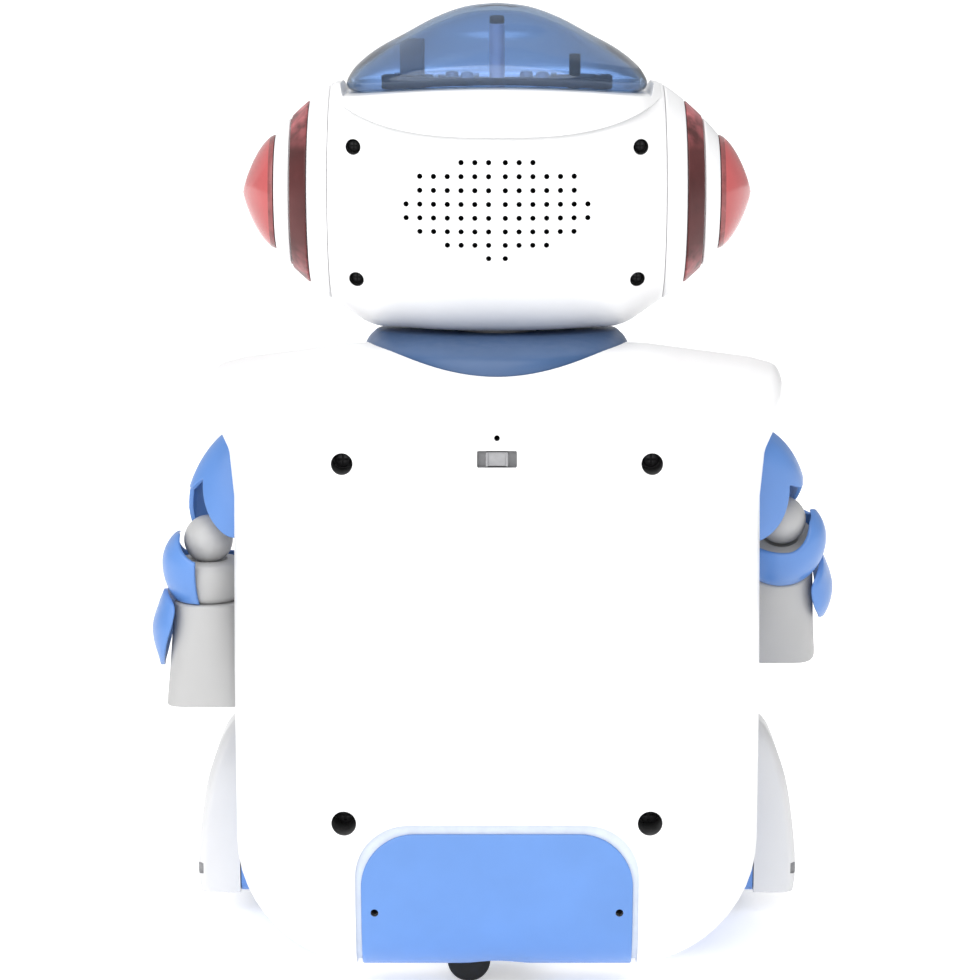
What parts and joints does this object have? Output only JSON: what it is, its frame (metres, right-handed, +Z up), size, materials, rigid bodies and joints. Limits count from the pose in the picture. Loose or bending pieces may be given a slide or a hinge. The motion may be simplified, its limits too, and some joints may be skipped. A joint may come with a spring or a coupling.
{
  "type": "educational coding robot",
  "caption": "Toy robot with a lemon-shaped head, light dome, speaker grille and hinged arms, driven on small wheels with a rear caster for coding lessons.",
  "frame": {"origin": "on the floor, under the middle of the robot's box", "axes": "+Z up, -Y the way the robot's face looks, +X towards the robot's own left side"},
  "size_m": [0.204, 0.12, 0.2791],
  "materials": {
    "white_shell": "smooth satin gloss",
    "blue_plastic": "smooth satin gloss",
    "blue_dome": "clear tinted, polished",
    "red_dark": "clear tinted, polished",
    "red_tip": "clear tinted, polished",
    "black_gloss": "polished dark window",
    "black_plastic": "fine moulded grain",
    "grey_plastic": "fine moulded grain",
    "board_green": "dark circuit board",
    "steel": "plated screw",
    "rubber": "matt moulded",
    "button_yellow": "soft satin"
  },
  "bodies": {
    "base": {"torso_rear_shell": "white_shell", "torso_front_shell": "white_shell", "battery_door": "blue_plastic", "door_screw_left": "steel", "door_screw_right": "steel", "torso_screw_upper_left": "steel", "torso_screw_upper_right": "steel", "torso_screw_lower_left": "steel", "torso_screw_lower_right": "steel", "neck_collar": "blue_plastic", "chest_panel": "blue_plastic", "chassis": "blue_plastic", "leg_left": "white_shell", "leg_right": "white_shell", "gearmotor_left": "grey_plastic", "gearmotor_right": "grey_plastic", "battery_pack": "black_plastic"},
    "head": {"head_rear_shell": "white_shell", "head_front_shell": "white_shell", "face_visor": "black_gloss", "head_crown": "white_shell", "dome": "blue_dome", "dome_post": "grey_plastic", "lamp_board": "board_green", "speaker": "black_plastic", "ear_frame_left": "white_shell", "ear_frame_right": "white_shell", "ear_band_left": "red_dark", "ear_band_right": "red_dark", "ear_tip_left": "red_tip", "ear_tip_right": "red_tip", "head_screw_upper_left": "steel", "head_screw_upper_right": "steel", "head_screw_lower_left": "steel", "head_screw_lower_right": "steel", "neck_spigot": "grey_plastic"},
    "slider": {"power_switch": "grey_plastic"},
    "swivel": {"caster_fork": "black_plastic"},
    "roller": {"caster_wheel": "black_plastic"},
    "upper_arm_left": {"shoulder_left": "blue_plastic", "elbow_ball_left": "white_shell"},
    "lower_arm_left": {"elbow_cup_left": "white_shell", "elbow_cuff_left": "blue_plastic", "forearm_left": "white_shell", "forearm_fin_left": "blue_plastic"},
    "drive_wheel_left": {"wheel_hub_left": "grey_plastic", "tyre_left": "rubber"},
    "upper_arm_right": {"shoulder_right": "blue_plastic", "elbow_ball_right": "white_shell"},
    "lower_arm_right": {"elbow_cup_right": "white_shell", "elbow_cuff_right": "blue_plastic", "forearm_right": "white_shell", "forearm_fin_right": "blue_plastic"},
    "drive_wheel_right": {"wheel_hub_right": "grey_plastic", "tyre_right": "rubber"},
    "push_forward": {"button_forward": "button_yellow"},
    "push_back": {"button_back": "button_yellow"},
    "push_left": {"button_left": "button_yellow"},
    "push_right": {"button_right": "button_yellow"}
  },
  "joints": [
    {"name": "head_pan", "type": "hinge", "parent": "base", "child": "head", "pos_m": [0, 0, 0.179], "axis": [0, 0, 1], "range_deg": [-60, 60]},
    {"name": "shoulder_left", "type": "hinge", "parent": "base", "child": "upper_arm_left", "pos_m": [0.085, 0, 0.147], "axis": [-1, 0, 0], "range_deg": [0, 95]},
    {"name": "elbow_left", "type": "hinge", "parent": "upper_arm_left", "child": "lower_arm_left", "pos_m": [0.085, 0, 0.1234], "axis": [-1, 0, 0], "range_deg": [0, 20]},
    {"name": "drive_wheel_left", "type": "hinge", "parent": "base", "child": "drive_wheel_left", "pos_m": [0.0688, -0.041, 0.015], "axis": [1, 0, 0], "continuous": true},
    {"name": "shoulder_right", "type": "hinge", "parent": "base", "child": "upper_arm_right", "pos_m": [-0.085, 0, 0.147], "axis": [-1, 0, 0], "range_deg": [-31, 64]},
    {"name": "elbow_right", "type": "hinge", "parent": "upper_arm_right", "child": "lower_arm_right", "pos_m": [-0.085, -0.01215, 0.12677], "axis": [-1, 0, 0], "range_deg": [0, 20]},
    {"name": "drive_wheel_right", "type": "hinge", "parent": "base", "child": "drive_wheel_right", "pos_m": [-0.0688, -0.041, 0.015], "axis": [1, 0, 0], "continuous": true},
    {"name": "caster_swivel", "type": "hinge", "parent": "base", "child": "swivel", "pos_m": [0, 0.037, 0.015], "axis": [0, 0, 1], "continuous": true},
    {"name": "caster_roll", "type": "hinge", "parent": "swivel", "child": "roller", "pos_m": [0.0081, 0.037, 0.0062], "axis": [0, 1, 0], "continuous": true},
    {"name": "power_slide", "type": "slide", "parent": "base", "child": "slider", "axis": [1, 0, 0], "range_m": [-0.0021, 0.0021]},
    {"name": "press_forward", "type": "slide", "parent": "base", "child": "push_forward", "axis": [0, 1, 0], "range_m": [0, 0.0012], "stiffness_N_per_m": 400},
    {"name": "press_back", "type": "slide", "parent": "base", "child": "push_back", "axis": [0, 1, 0], "range_m": [0, 0.0012], "stiffness_N_per_m": 400},
    {"name": "press_left", "type": "slide", "parent": "base", "child": "push_left", "axis": [0, 1, 0], "range_m": [0, 0.0012], "stiffness_N_per_m": 400},
    {"name": "press_right", "type": "slide", "parent": "base", "child": "push_right", "axis": [0, 1, 0], "range_m": [0, 0.0012], "stiffness_N_per_m": 400}
  ]
}
